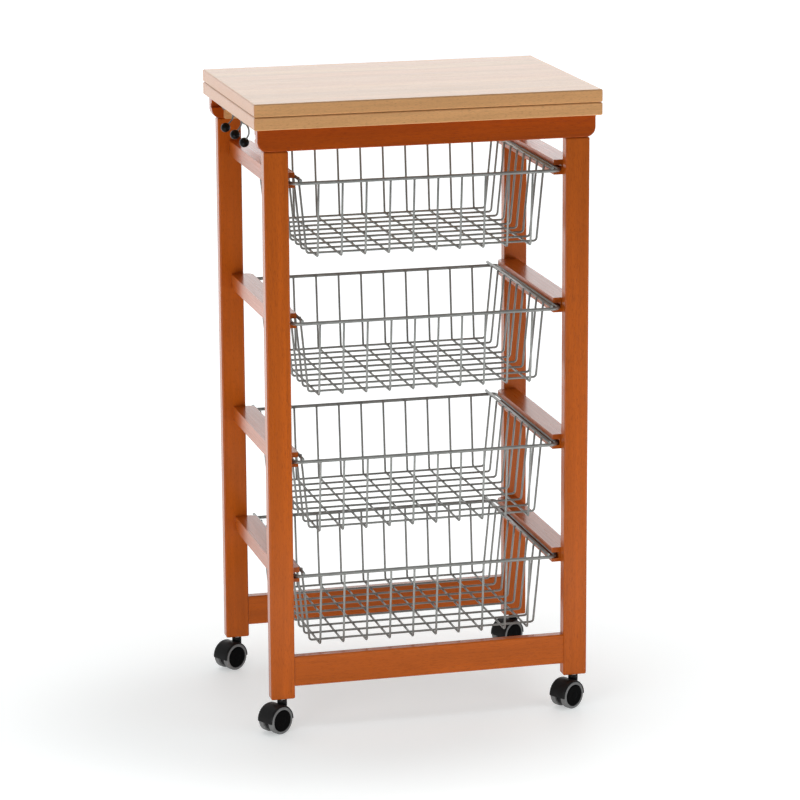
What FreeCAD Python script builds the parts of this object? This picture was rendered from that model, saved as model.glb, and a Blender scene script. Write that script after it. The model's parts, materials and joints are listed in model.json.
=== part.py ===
import FreeCAD, Part
import math
import os
import re

# A kitchen cart on casters: a beech top of two leaves that slides and folds open, a stained wooden
# frame, four wire baskets that run in grooved rails, three swivel hooks and four twin-wheel casters.
# X runs to the right, the front faces -Y, Z is up from the floor, and the origin lies on the floor
# under the middle of the top. Lengths are in millimetres, turns in degrees.

SIZES = {
    # folding top
    "top_width": 500,
    "top_depth": 352,
    "leaf_thickness": 18,
    "leaf_gap": 0.6,
    "leaf_edge": 1.5,
    "slide_gap": 0.3,
    # runners under the lower leaf
    "runner_inset": 24,
    "runner_thickness": 14,
    "runner_height": 31,
    "tongue_height": 6,
    "tongue_depth": 5,
    "tongue_drop": 10,
    # frame
    "leg_width": 35,
    "leg_depth": 19,
    "leg_length": 791.2,
    "leg_side_inset": 15,
    "leg_front_inset": 11,
    "leg_edge": 2.5,
    "apron_inset": 6.5,
    "apron_height": 31.8,
    "apron_thickness": 19,
    "apron_corner": 14,
    "apron_edge": 2,
    "stretcher_edge": 1.5,
    "stretcher_height": 44,
    "stretcher_thickness": 15,
    "stretcher_lift": 18,
    "stretcher_setback": 2,
    "tenon_thickness": 8,
    "tenon_width": 20,
    "tenon_length": 10,
    "glue_gap": 0.05,
    # basket rails
    "rail_width": 31,
    "rail_height": 21.5,
    "rail_reach": 12.5,
    "rail_lip": 7.5,
    "groove_height": 9,
    "groove_depth": 11,
    "rail_corner": 10,
    "rail_tenon": 9,
    "top_rail_drop": 33.2,
    "bottom_rail_lift": 189.5,
    "upper_rail_share": 0.35,
    "lower_rail_share": 0.703,
    # baskets
    "rim_wire": 4.5,
    "side_wire": 4,
    "grid_wire": 2.8,
    "basket_side_gap": 2.6,
    "rest_gap": 0.3,
    "weld_gap": 0.08,
    "basket_shortfall": 26.5,
    "basket_floor_gap": 5,
    "basket_taper": 10.6,
    "rim_corner": 12,
    "rim_rear_corner": 8,
    "grid_bend": 4.5,
    "grid_stub": 0.5,
    "side_wire_inset": 13.5,
    "side_wire_tail": 6,
    "long_wire_inset": 40.3,
    "long_wire_count": 10,
    "cross_wire_start": 28,
    "cross_wire_end": 30.3,
    "cross_wire_count": 9,
    "top_basket_setback": 20,
    "upper_basket_setback": 20,
    "lower_basket_setback": 26,
    "bottom_basket_setback": 30,
    # leaf hinges
    "hinge_length": 50,
    "hinge_spread": 220,
    "hinge_plate_height": 14,
    "hinge_plate_thickness": 1.5,
    "knuckle_radius": 2.8,
    "knuckle_gap": 0.4,
    "hinge_pin_radius": 1.4,
    "turn_gap": 0.05,
    # swivel hooks
    "hook_wire": 2.4,
    "hook_play": 0.2,
    "hook_inset": 13,
    "hook_pitch": 67,
    "hook_shift": 31,
    "hook_seat": 10,
    "hook_shank": 11,
    "hook_neck": 3,
    "hook_arm": 4,
    "hook_bend": 10.3,
    "hook_sweep": 130,
    "hook_tail": 6,
    "ball_radius": 7,
    "ball_seat": 4,
    "front_hook_turn": 63,
    "middle_hook_turn": 343,
    "back_hook_turn": 15,
    # casters
    "caster_height": 48,
    "caster_turn": 30,
    "caster_trail": 13,
    "caster_neck": 6,
    "wheel_width": 9.5,
    "wheel_gap": 0.4,
    "tyre_depth": 4,
    "hub_dome": 1,
    "hub_wall": 1.5,
    "axle_radius": 2.5,
    "web_width": 10,
    "web_inset": 3,
    "hood_gap": 0.7,
    "hood_wall": 1.3,
    "hood_sweep": 186,
    "boss_radius": 7,
    "neck_gap": 1.2,
    "stem_radius": 4,
    "stem_length": 30,
    "flange_radius": 6,
    "pin_radius": 3,
    "pin_length": 19,
    # how far a cutting tool reaches past the face that it cuts
    "overrun": 1,
}

# Sides of the wire sections and chords in each bend, which keep the many wires light.
GRID_SIDES = 6
WIRE_SIDES = 8
GRID_BEND_STEPS = 2
RIM_BEND_STEPS = 4
HOOK_BEND_STEPS = 5
BALL_STEPS = 8

doc = FreeCAD.newDocument("kitchen_cart")
sheet = doc.addObject("Spreadsheet::Sheet", "sizes")
for row, (alias, number) in enumerate(SIZES.items(), start=1):
    sheet.set("A%d" % row, alias)
    sheet.set("B%d" % row, str(number))
    sheet.setAlias("B%d" % row, alias)
doc.recompute()


def size(alias):
    """Number in the sheet's cell of that alias."""
    return float(sheet.get(alias))


def bind(thing, prop, text):
    """Binds a property to an expression in which each alias stands for its cell."""
    named = re.sub(r"[a-z_]+", lambda m: "sizes." + m.group() if m.group() in SIZES else m.group(), text)
    thing.setExpression(prop, named)


def place(thing, corner):
    """Binds the three coordinates of an object's place."""
    for axis, text in zip("xyz", corner):
        bind(thing, "Placement.Base." + axis, text)
    return thing


def box(name, lengths, corner):
    """Box of three bound lengths with its low corner at a bound place."""
    made = doc.addObject("Part::Box", name)
    for prop, text in zip(("Length", "Width", "Height"), lengths):
        bind(made, prop, text)
    return place(made, corner)


def cylinder(name, radius, length, base, direction=FreeCAD.Vector(0, 0, 1)):
    """Cylinder of bound radius and length that stands on a bound point and runs in a direction."""
    made = doc.addObject("Part::Cylinder", name)
    made.Placement.Rotation = FreeCAD.Rotation(FreeCAD.Vector(0, 0, 1), direction)
    bind(made, "Radius", radius)
    bind(made, "Height", length)
    return place(made, base)


def together(name, things, kind="Part::Compound"):
    """Group, or with Part::MultiFuse the union, of several objects."""
    made = doc.addObject(kind, name)
    if kind == "Part::Compound":
        made.Links = things
    else:
        made.Shapes = things
    return made


def cut(name, base, tools):
    """A base less all its cutting tools."""
    made = doc.addObject("Part::Cut", name)
    made.Base = base
    made.Tool = together(name + "_tools", tools) if len(tools) > 1 else tools[0]
    return made


def mirrored(name, source, normal):
    """Mirror image through the origin's plane of that normal."""
    made = doc.addObject("Part::Mirroring", name)
    made.Source = source
    made.Base = FreeCAD.Vector(0, 0, 0)
    made.Normal = normal
    return made


def eased(name, base, alias, wanted, kind="Part::Chamfer"):
    """A base with the wanted edges chamfered or filleted by one named size."""
    doc.recompute()
    made = doc.addObject(kind, name)
    made.Base = base
    picks = [k for k, edge in enumerate(base.Shape.Edges, start=1) if wanted(edge)]
    made.Edges = [(k, size(alias), size(alias)) for k in picks]
    return made


def runs_along(edge, axis):
    """Whether a straight edge is parallel to an axis."""
    return abs(abs(edge.tangentAt(edge.FirstParameter).dot(axis)) - 1) < 1e-6


nodes = []


def keep(label, made):
    """Marks an object as one of the cart's sub-parts under its node name."""
    made.Label = label
    nodes.append(made)
    return made


def shaped(label, shape, spot=None, turn=0):
    """Sub-part whose shape is built here from the sheet's sizes, set down at a spot and a turn about Z."""
    made = doc.addObject("Part::Feature", label)
    made.Shape = shape
    made.Placement = FreeCAD.Placement(spot or FreeCAD.Vector(), FreeCAD.Rotation(UP, turn))
    return keep(label, made)


RIGHT = FreeCAD.Vector(1, 0, 0)
BACK = FreeCAD.Vector(0, 1, 0)
UP = FreeCAD.Vector(0, 0, 1)

# Places that several pieces share, as expressions of the sizes.
LEG_OUT = "(top_width / 2 - leg_side_inset)"
LEG_IN = "(top_width / 2 - leg_side_inset - leg_width)"
LEG_FRONT = "(leg_front_inset - top_depth / 2)"
LEG_BACK = "(leg_front_inset + leg_depth - top_depth / 2)"
LEG_TOP = "(caster_height + leg_length)"
APRON_BACK = "(leg_front_inset + apron_thickness - top_depth / 2)"
LOWER_LEAF = "(caster_height + leg_length + apron_height + slide_gap)"
UPPER_LEAF = "(caster_height + leg_length + apron_height + slide_gap + leaf_thickness + leaf_gap)"
HINGE_X = "(top_width / 2 + leaf_gap / 2)"
HINGE_Z = "(caster_height + leg_length + apron_height + slide_gap + leaf_thickness + leaf_gap / 2)"
RAIL_SPAN = "(leg_length - top_rail_drop - bottom_rail_lift)"
RAIL_TOPS = {
    "top": "(caster_height + leg_length - top_rail_drop)",
    "upper": "(caster_height + leg_length - top_rail_drop - upper_rail_share * " + RAIL_SPAN + ")",
    "lower": "(caster_height + leg_length - top_rail_drop - lower_rail_share * " + RAIL_SPAN + ")",
    "bottom": "(caster_height + bottom_rail_lift)",
}

# Legs: a post rounded at every edge with a tenon on top, mortises for the rails and the stretcher, and the
# stem's bore. The front left leg is made, and the other three are its mirror images.
post = eased(
    "leg_post",
    box("leg_blank", ("leg_width", "leg_depth", "leg_length"), ("-" + LEG_OUT, LEG_FRONT, "caster_height")),
    "leg_edge",
    lambda edge: True,
    "Part::Fillet",
)
leg_tools = [
    box(
        level + "_rail_mortise",
        ("rail_tenon + 2 * glue_gap", "tenon_length + glue_gap + overrun", "rail_tenon + 2 * glue_gap"),
        (
            "-" + LEG_IN + " - (rail_width - rail_reach + rail_tenon) / 2 - glue_gap",
            LEG_BACK + " - tenon_length - glue_gap",
            top + " - (rail_height + rail_tenon) / 2 - glue_gap",
        ),
    )
    for level, top in RAIL_TOPS.items()
]
leg_tools.append(
    box(
        "stretcher_mortise",
        ("tenon_length + glue_gap + overrun", "tenon_thickness + 2 * glue_gap", "tenon_width + 2 * glue_gap"),
        (
            "-" + LEG_IN + " - tenon_length - glue_gap",
            LEG_FRONT + " + stretcher_setback + (stretcher_thickness - tenon_thickness) / 2 - glue_gap",
            "caster_height + stretcher_lift + (stretcher_height - tenon_width) / 2 - glue_gap",
        ),
    )
)
leg_tools.append(
    cylinder(
        "stem_bore",
        "stem_radius + glue_gap",
        "stem_length + glue_gap + overrun",
        ("-" + LEG_IN + " - leg_width / 2", LEG_FRONT + " + leg_depth / 2", "caster_height - overrun"),
    )
)
leg_tenon = box(
    "leg_tenon",
    ("tenon_width", "tenon_thickness", "tenon_length + overrun"),
    (
        "-" + LEG_IN + " - (leg_width + tenon_width) / 2",
        LEG_FRONT + " + (leg_depth - tenon_thickness) / 2",
        LEG_TOP + " - overrun",
    ),
)
front_left = together("front_left_leg", [cut("leg_cut", post, leg_tools), leg_tenon], "Part::MultiFuse")
keep("front_left_leg", front_left)
keep("front_right_leg", mirrored("front_right_leg", front_left, RIGHT))
back_left = keep("back_left_leg", mirrored("back_left_leg", front_left, BACK))
keep("back_right_leg", mirrored("back_right_leg", back_left, RIGHT))

# Aprons: boards that lie on the leg tops, rounded at the lower end corners and along the outer lower edge,
# grooved inside for the tongue.
APRON_END = "(top_width / 2 - apron_inset)"
apron_top = size("caster_height") + size("leg_length") + size("apron_height")
apron_face = size("leg_front_inset") - size("top_depth") / 2


def under_outer_face(edge):
    """Whether an edge bounds the front apron's outer face anywhere but along the top."""
    on_face = edge.BoundBox.YMax < apron_face + size("glue_gap")
    return on_face and edge.CenterOfMass.z < apron_top - size("glue_gap")


apron_round = eased(
    "apron_round",
    box(
        "apron_blank",
        ("2 * " + APRON_END, "apron_thickness", "apron_height"),
        ("-" + APRON_END, LEG_FRONT, LEG_TOP),
    ),
    "apron_corner",
    lambda edge: runs_along(edge, BACK) and edge.CenterOfMass.z < apron_top - size("apron_height") / 2,
    "Part::Fillet",
)
apron_blank = eased("apron_soft", apron_round, "apron_edge", under_outer_face, "Part::Fillet")
apron_tools = [
    box(
        side + "_apron_mortise",
        ("tenon_width + 2 * glue_gap", "tenon_thickness + 2 * glue_gap", "tenon_length + glue_gap + overrun"),
        (
            sign + "(" + LEG_IN + " + leg_width / 2) - tenon_width / 2 - glue_gap",
            LEG_FRONT + " + (leg_depth - tenon_thickness) / 2 - glue_gap",
            LEG_TOP + " - overrun",
        ),
    )
    for side, sign in (("left", "-"), ("right", "+"))
]
apron_tools.append(
    box(
        "tongue_groove",
        (
            "2 * " + APRON_END + " + 2 * overrun",
            "tongue_depth + slide_gap + overrun",
            "tongue_height + 2 * slide_gap",
        ),
        (
            "-" + APRON_END + " - overrun",
            APRON_BACK + " - tongue_depth - slide_gap",
            LOWER_LEAF + " - tongue_drop - tongue_height - slide_gap",
        ),
    )
)
front_apron = keep("front_apron", cut("front_apron", apron_blank, apron_tools))
keep("back_apron", mirrored("back_apron", front_apron, BACK))

# Stretchers: boards between the feet of the legs, tenoned at both ends.
stretcher_board = eased(
    "stretcher_board",
    box(
        "stretcher_blank",
        ("2 * " + LEG_IN, "stretcher_thickness", "stretcher_height"),
        ("-" + LEG_IN, LEG_FRONT + " + stretcher_setback", "caster_height + stretcher_lift"),
    ),
    "stretcher_edge",
    lambda edge: runs_along(edge, RIGHT),
)
stretcher_tenon = box(
    "stretcher_tenon",
    ("2 * " + LEG_IN + " + 2 * tenon_length", "tenon_thickness", "tenon_width"),
    (
        "-" + LEG_IN + " - tenon_length",
        LEG_FRONT + " + stretcher_setback + (stretcher_thickness - tenon_thickness) / 2",
        "caster_height + stretcher_lift + (stretcher_height - tenon_width) / 2",
    ),
)
front_stretcher = together("front_stretcher", [stretcher_board, stretcher_tenon], "Part::MultiFuse")
keep("front_stretcher", front_stretcher)
keep("back_stretcher", mirrored("back_stretcher", front_stretcher, BACK))

# Basket rails: a pair at each level, grooved towards the basket, rounded at the inner back corner
# and tenoned into the legs at both ends.
for level, top in RAIL_TOPS.items():
    inner = "(" + LEG_IN + " - rail_reach)"
    bar = eased(
        level + "_rail_bar",
        box(
            level + "_rail_blank",
            ("rail_width", "-2 * " + LEG_BACK, "rail_height"),
            ("-" + inner + " - rail_width", LEG_BACK, top + " - rail_height"),
        ),
        "rail_corner",
        lambda edge: runs_along(edge, UP) and edge.CenterOfMass.y > 0
        and edge.CenterOfMass.x > -(size("top_width") / 2 - size("leg_side_inset") - size("leg_width")),
        "Part::Fillet",
    )
    groove = box(
        level + "_rail_groove",
        ("groove_depth + overrun", "-2 * " + LEG_BACK + " + 2 * overrun", "groove_height"),
        ("-" + inner + " - groove_depth", LEG_BACK + " - overrun", top + " - rail_lip - groove_height"),
    )
    tenon = box(
        level + "_rail_tenon",
        ("rail_tenon", "-2 * " + LEG_BACK + " + 2 * tenon_length", "rail_tenon"),
        (
            "-" + LEG_IN + " - (rail_width - rail_reach + rail_tenon) / 2",
            LEG_BACK + " - tenon_length",
            top + " - (rail_height + rail_tenon) / 2",
        ),
    )
    left_rail = together(level + "_left_rail", [cut(level + "_rail_cut", bar, [groove]), tenon], "Part::MultiFuse")
    right_rail = mirrored(level + "_right_rail", left_rail, RIGHT)
    keep(level + "_rails", together(level + "_rails", [left_rail, right_rail]))

# Top: two leaves with eased edges. Both are let in at the right edge for the hinges, and the lower one
# is bored from below for the hook shanks.
HOOKS = (("front", "front_hook_turn", -1), ("middle", "middle_hook_turn", 0), ("back", "back_hook_turn", 1))
HINGES = (("front", "-"), ("back", "+"))


def leaf(name, bottom, tools):
    """One leaf of the top, eased all round, less its cutting tools."""
    blank = box(
        name + "_blank",
        ("top_width", "top_depth", "leaf_thickness"),
        ("-top_width / 2", "-top_depth / 2", bottom),
    )
    return keep(name, cut(name, eased(name + "_board", blank, "leaf_edge", lambda edge: True), tools))


def hinge_recess(name, sign, low):
    """Tools that let one hinge's plate and barrel into a leaf's edge."""
    start = sign + "hinge_spread / 2 - hinge_length / 2 - glue_gap"
    plate = box(
        name + "_plate_recess",
        (
            "hinge_plate_thickness + glue_gap + overrun",
            "hinge_length + 2 * glue_gap",
            "hinge_plate_height + 2 * glue_gap",
        ),
        ("top_width / 2 - hinge_plate_thickness - glue_gap", start, low + " - glue_gap"),
    )
    barrel = cylinder(
        name + "_barrel_recess",
        "knuckle_radius + knuckle_gap",
        "hinge_length + 2 * glue_gap",
        (HINGE_X, start, HINGE_Z),
        BACK,
    )
    return [plate, barrel]


lower_tools = []
upper_tools = []
for end, sign in HINGES:
    lower_tools += hinge_recess(end + "_lower", sign, HINGE_Z + " - hinge_plate_height")
    upper_tools += hinge_recess(end + "_upper", sign, HINGE_Z)
for end, turn, step in HOOKS:
    lower_tools.append(
        cylinder(
            end + "_hook_bore",
            "hook_wire / 2 + hook_play",
            "hook_seat + overrun",
            (
                "hook_inset - top_width / 2",
                "hook_shift + (%d) * hook_pitch" % step,
                LOWER_LEAF + " - overrun",
            ),
        )
    )
leaf("lower_leaf", LOWER_LEAF, lower_tools)
leaf("upper_leaf", UPPER_LEAF, upper_tools)

# Runners: battens under the lower leaf beside the aprons, each with a tongue in its apron's groove.
RUNNER_END = "(top_width / 2 - runner_inset)"
front_runner = together(
    "front_runner",
    [
        box(
            "runner_batten",
            ("2 * " + RUNNER_END, "runner_thickness", "runner_height"),
            ("-" + RUNNER_END, APRON_BACK + " + slide_gap", LOWER_LEAF + " - runner_height"),
        ),
        box(
            "runner_tongue",
            ("2 * " + RUNNER_END, "tongue_depth + slide_gap + overrun", "tongue_height"),
            (
                "-" + RUNNER_END,
                APRON_BACK + " - tongue_depth",
                LOWER_LEAF + " - tongue_drop - tongue_height",
            ),
        ),
    ],
    "Part::MultiFuse",
)
keep("top_runners", together("top_runners", [front_runner, mirrored("back_runner", front_runner, BACK)]))

# Hinges: plates let into the leaves' right edges, with knuckles about a pin at the parting line.
KNUCKLE = "(hinge_length / 3)"


def hinge_plate(name, sign, below, thirds):
    """Plate of one leaf with its knuckles in the given thirds of the hinge's length."""
    low = HINGE_Z + (" - hinge_plate_height" if below else " + knuckle_radius + knuckle_gap")
    start = sign + "hinge_spread / 2 - hinge_length / 2"
    solids = [
        box(
            name + "_flat",
            ("hinge_plate_thickness", "hinge_length", "hinge_plate_height - knuckle_radius - knuckle_gap"),
            ("top_width / 2 - hinge_plate_thickness", start, low),
        )
    ]
    for third in thirds:
        at = "%s + %d * %s + knuckle_gap / 2" % (start, third, KNUCKLE)
        solids.append(
            box(
                "%s_neck_%d" % (name, third),
                ("hinge_plate_thickness", KNUCKLE + " - knuckle_gap", "knuckle_radius + knuckle_gap + overrun"),
                (
                    "top_width / 2 - hinge_plate_thickness",
                    at,
                    HINGE_Z + (" - knuckle_radius - knuckle_gap - overrun" if below else ""),
                ),
            )
        )
        solids.append(
            cylinder(
                "%s_knuckle_%d" % (name, third),
                "knuckle_radius",
                KNUCKLE + " - knuckle_gap",
                (HINGE_X, at, HINGE_Z),
                BACK,
            )
        )
    bore = cylinder(
        name + "_bore", "hinge_pin_radius + turn_gap", "hinge_length + 2 * overrun",
        (HINGE_X, start + " - overrun", HINGE_Z), BACK,
    )
    return cut(name, together(name + "_joined", solids, "Part::MultiFuse"), [bore])


for label, below, thirds in (("hinge_lower_plates", True, (0, 2)), ("hinge_upper_plates", False, (1,))):
    keep(label, together(label, [hinge_plate(end + "_" + label, sign, below, thirds) for end, sign in HINGES]))
keep(
    "hinge_pins",
    together(
        "hinge_pins",
        [
            cylinder(
                end + "_hinge_pin", "hinge_pin_radius", "hinge_length",
                (HINGE_X, sign + "hinge_spread / 2 - hinge_length / 2", HINGE_Z), BACK,
            )
            for end, sign in HINGES
        ],
    ),
)


def rounded(points, radii, steps):
    """Path of straight runs with each inner corner replaced by chords of an arc of its radius."""
    path = [points[0]]
    for before, corner, after, radius in zip(points, points[1:], points[2:], radii):
        arriving = (corner - before).normalize()
        leaving = (after - corner).normalize()
        turn = arriving.getAngle(leaving)
        reach = radius * math.tan(turn / 2)
        centre = corner + (leaving - arriving).normalize() * (radius / math.cos(turn / 2))
        start = corner - arriving * reach - centre
        tangent = arriving * radius
        for step in range(steps + 1):
            angle = turn * step / steps
            path.append(centre + start * math.cos(angle) + tangent * math.sin(angle))
    path.append(points[-1])
    return [b for a, b in zip([None] + path, path) if a is None or not a.isEqual(b, 1e-6)]


def wire(path, across, diameter, sides, closed=False):
    """Solid wire of a many-sided section along a flat path, mitred at its corners; across is square to it.

    A closed path ends where it starts and makes an endless loop.
    """
    runs = [(b - a).normalize() for a, b in zip(path, path[1:])]
    reach = diameter / 2 / math.cos(math.pi / sides)
    rings = []
    for k, point in enumerate(path[:-1] if closed else path):
        arriving = runs[k - 1] if k > 0 or closed else runs[0]
        leaving = runs[min(k, len(runs) - 1)]
        ahead = (arriving + leaving).normalize()
        beside = ahead.cross(across) / ahead.dot(leaving)
        turns = [math.pi * (2 * side + 1) / sides for side in range(sides)]
        rings.append([point + beside * (reach * math.cos(a)) + across * (reach * math.sin(a)) for a in turns])
    outlines = [] if closed else [rings[0], rings[-1]]
    for low, high in zip(rings, rings[1:] + (rings[:1] if closed else [])):
        for side in range(sides):
            after = (side + 1) % sides
            outlines.append([low[side], low[after], high[after], high[side]])
    faces = [Part.Face(Part.makePolygon(outline + outline[:1])) for outline in outlines]
    solid = Part.Solid(Part.Shell(faces))
    if solid.Volume < 0:
        solid.reverse()
    return solid


def spot(x, y, z):
    """Point of three coordinates."""
    return FreeCAD.Vector(x, y, z)


# Baskets: a closed rim of thick wire whose sides run in the rails' grooves, a side wire on the rim within each
# of them, and a grid of bent wires. The floor of the bottom basket clears the stretchers, and the other three
# are made alike. Lengths start from the middle of the front rim wire.
basket_length = size("top_depth") - size("basket_shortfall")
rim_half = (size("top_width") / 2 - size("leg_side_inset") - size("leg_width") - size("basket_side_gap")
            - size("rim_wire") / 2)
rim_path = [
    spot(0, basket_length, 0),
    spot(-rim_half, basket_length, 0),
    spot(-rim_half, 0, 0),
    spot(rim_half, 0, 0),
    spot(rim_half, basket_length, 0),
    spot(0, basket_length, 0),
]
rim_radii = (size("rim_rear_corner"), size("rim_corner"), size("rim_corner"), size("rim_rear_corner"))
rim_shape = wire(rounded(rim_path, rim_radii, RIM_BEND_STEPS), UP, size("rim_wire"), WIRE_SIDES, closed=True)

side_half = rim_half - size("side_wire_inset")
side_z = (size("rim_wire") + size("side_wire")) / 2 + size("weld_gap")
side_start = -size("rim_wire") / 2
side_stop = basket_length + size("side_wire_tail")
side_shapes = [
    wire([spot(x, side_start, side_z), spot(x, side_stop, side_z)], UP, size("side_wire"), WIRE_SIDES)
    for x in (-side_half, side_half)
]

grid_half = size("grid_wire") / 2
rim_over_rail_top = size("rest_gap") + size("rim_wire") / 2 - size("rail_lip") - size("groove_height")
basket_room = size("bottom_rail_lift") + rim_over_rail_top - size("stretcher_lift") - size("stretcher_height")
long_floor = size("basket_floor_gap") + grid_half - basket_room
cross_floor = long_floor + size("grid_wire") + size("weld_gap")
long_front = size("rim_wire") / 2 + size("weld_gap") + grid_half
long_back = basket_length - long_front
long_half = rim_half - size("long_wire_inset")
long_step = 2 * long_half / (size("long_wire_count") - 1)
cross_half = side_half - size("side_wire") / 2 - size("weld_gap") - grid_half
cross_run = basket_length - size("cross_wire_start") - size("cross_wire_end")
cross_step = cross_run / (size("cross_wire_count") - 1)
cross_top = side_z + size("grid_stub")
taper = size("basket_taper")
grid_radii = (size("grid_bend"), size("grid_bend"))
long_shapes = []
for count in range(int(size("long_wire_count"))):
    x = count * long_step - long_half
    path = [
        spot(x, long_front, size("grid_stub")),
        spot(x, long_front + taper, long_floor),
        spot(x, long_back - taper, long_floor),
        spot(x, long_back, size("grid_stub")),
    ]
    long_shapes.append(wire(rounded(path, grid_radii, GRID_BEND_STEPS), RIGHT, size("grid_wire"), GRID_SIDES))
cross_shapes = []
for count in range(int(size("cross_wire_count"))):
    y = size("cross_wire_start") + count * cross_step
    path = [
        spot(-cross_half, y, cross_top),
        spot(taper - cross_half, y, cross_floor),
        spot(cross_half - taper, y, cross_floor),
        spot(cross_half, y, cross_top),
    ]
    cross_shapes.append(wire(rounded(path, grid_radii, GRID_BEND_STEPS), BACK, size("grid_wire"), GRID_SIDES))

top_rim_z = size("caster_height") + size("leg_length") - size("top_rail_drop") + rim_over_rail_top
rail_span = size("leg_length") - size("top_rail_drop") - size("bottom_rail_lift")
for level, share in (("top", 0), ("upper", size("upper_rail_share")), ("lower", size("lower_rail_share")),
                     ("bottom", 1)):
    at = spot(0, size(level + "_basket_setback") - size("top_depth") / 2, top_rim_z - share * rail_span)
    shaped(level + "_basket_rim", rim_shape, at)
    shaped(level + "_basket_side_wires", Part.makeCompound(side_shapes), at)
    shaped(level + "_basket_long_wires", Part.makeCompound(long_shapes), at)
    shaped(level + "_basket_cross_wires", Part.makeCompound(cross_shapes), at)


def ring(profile):
    """Solid of revolution about the X axis through a closed profile of (distance along X, radius) points."""
    outline = [spot(x, 0, radius) for x, radius in profile]
    return Part.Face(Part.makePolygon(outline + outline[:1])).revolve(FreeCAD.Vector(), RIGHT, 360)


# Hooks: a wire that turns in the lower leaf on its shank, runs out and sweeps down and back to a ball that is
# bored for the wire's end.
sweep = math.radians(size("hook_sweep"))
bend_reach = size("hook_bend") * math.tan(sweep / 2)
inward = spot(math.cos(sweep), 0, -math.sin(sweep))
corner = spot(size("hook_arm") + bend_reach, 0, -size("hook_shank"))
ball_middle = corner + inward * (bend_reach + size("hook_tail") + size("ball_radius"))
hook_path = [
    spot(0, 0, size("hook_seat") - size("slide_gap")),
    spot(0, 0, -size("hook_shank")),
    corner,
    ball_middle - inward * (size("ball_radius") - size("ball_seat")),
]
hook_radii = (size("hook_neck"), size("hook_bend"))
hook_shape = wire(rounded(hook_path, hook_radii, HOOK_BEND_STEPS), BACK, size("hook_wire"), WIRE_SIDES)
bore_radius = size("hook_wire") / 2 + size("hook_play")
bore_floor = size("ball_seat") - size("ball_radius") + size("glue_gap")
mouth_turn = math.asin(bore_radius / size("ball_radius"))
ball_turns = [mouth_turn + (math.pi - mouth_turn) * step / BALL_STEPS for step in range(BALL_STEPS + 1)]
ball_profile = [(-size("ball_radius") * math.cos(a), size("ball_radius") * math.sin(a)) for a in ball_turns]
ball_profile[-1] = (size("ball_radius"), 0)
ball = ring(ball_profile + [(bore_floor, 0), (bore_floor, bore_radius)])
ball.rotate(FreeCAD.Vector(), BACK, size("hook_sweep"))
ball.translate(ball_middle)
ball_shape = Part.makeCompound([ball])
under_leaf = size("caster_height") + size("leg_length") + size("apron_height") + size("slide_gap")
for end, turn, step in HOOKS:
    at = spot(size("hook_inset") - size("top_width") / 2, size("hook_shift") + step * size("hook_pitch"), under_leaf)
    shaped(end + "_hook", hook_shape, at, -size(turn))
    shaped(end + "_hook_ball", ball_shape, at, -size(turn))


def both_sides(solid):
    """A solid and its mirror image across the caster's middle plane."""
    return Part.makeCompound([solid, solid.mirror(FreeCAD.Vector(), RIGHT)])


# Casters: a steel stem fixed in the leg, and a hood that swivels on the stem's pin. The hood's web carries
# the axle of two wheels. Shapes start from the middle of the axle, which runs along X, with the stem at +Y.
wheel_radius = (size("caster_height") - size("caster_neck") - size("hood_gap") - size("hood_wall")) / 2
wheel_in = size("web_width") / 2 + size("wheel_gap")
wheel_out = wheel_in + size("wheel_width")
tread_in = wheel_radius - size("tyre_depth")
tyre_edge = size("tyre_depth") / 4
tyre_shape = both_sides(
    ring(
        [
            (wheel_in, tread_in),
            (wheel_in, wheel_radius - tyre_edge),
            (wheel_in + tyre_edge, wheel_radius),
            (wheel_out - tyre_edge, wheel_radius),
            (wheel_out, wheel_radius - tyre_edge),
            (wheel_out, tread_in),
        ]
    )
)
hub_rim = tread_in - size("glue_gap")
hub_bore = size("axle_radius") + size("glue_gap")
bore_end = wheel_out - size("hub_wall")
hub_shape = both_sides(
    ring(
        [
            (wheel_in, hub_bore),
            (wheel_in, hub_rim),
            (wheel_out, hub_rim),
            (wheel_out + size("hub_dome"), hub_rim - 2 * size("hub_dome")),
            (wheel_out + size("hub_dome"), 0),
            (bore_end, 0),
            (bore_end, hub_bore),
        ]
    )
)
axle_half = bore_end - size("glue_gap")
axle_shape = Part.makeCylinder(size("axle_radius"), 2 * axle_half, spot(-axle_half, 0, 0), RIGHT)

hood_in = wheel_radius + size("hood_gap")
hood_out = hood_in + size("hood_wall")
boss_top = size("caster_height") - size("neck_gap") - wheel_radius


def sector(inner, outer, sweep, width):
    """Sector of a disc or ring about the X axis, set evenly about the top and across the middle plane."""
    first = math.radians(90 - sweep / 2)
    last = math.radians(90 + sweep / 2)

    def arc(radius, turns):
        places = [spot(-width / 2, radius * math.cos(turn), radius * math.sin(turn)) for turn in turns]
        return Part.Arc(*places).toShape()

    edges = [arc(outer, (first, math.pi / 2, last))]
    if inner > 0:
        edges.append(arc(inner, (first, math.pi / 2, last)))
        ends = [(edge.valueAt(edge.FirstParameter), edge.valueAt(edge.LastParameter)) for edge in edges]
        edges += [Part.makeLine(ends[0][k], ends[1][k]) for k in (0, 1)]
    else:
        edge = edges[0]
        tips = [edge.valueAt(edge.FirstParameter), edge.valueAt(edge.LastParameter)]
        edges += [Part.makeLine(tip, spot(-width / 2, 0, 0)) for tip in tips]
    outline = Part.Wire(Part.__sortEdges__(edges))
    return Part.Face(outline).extrude(RIGHT * width)


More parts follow.
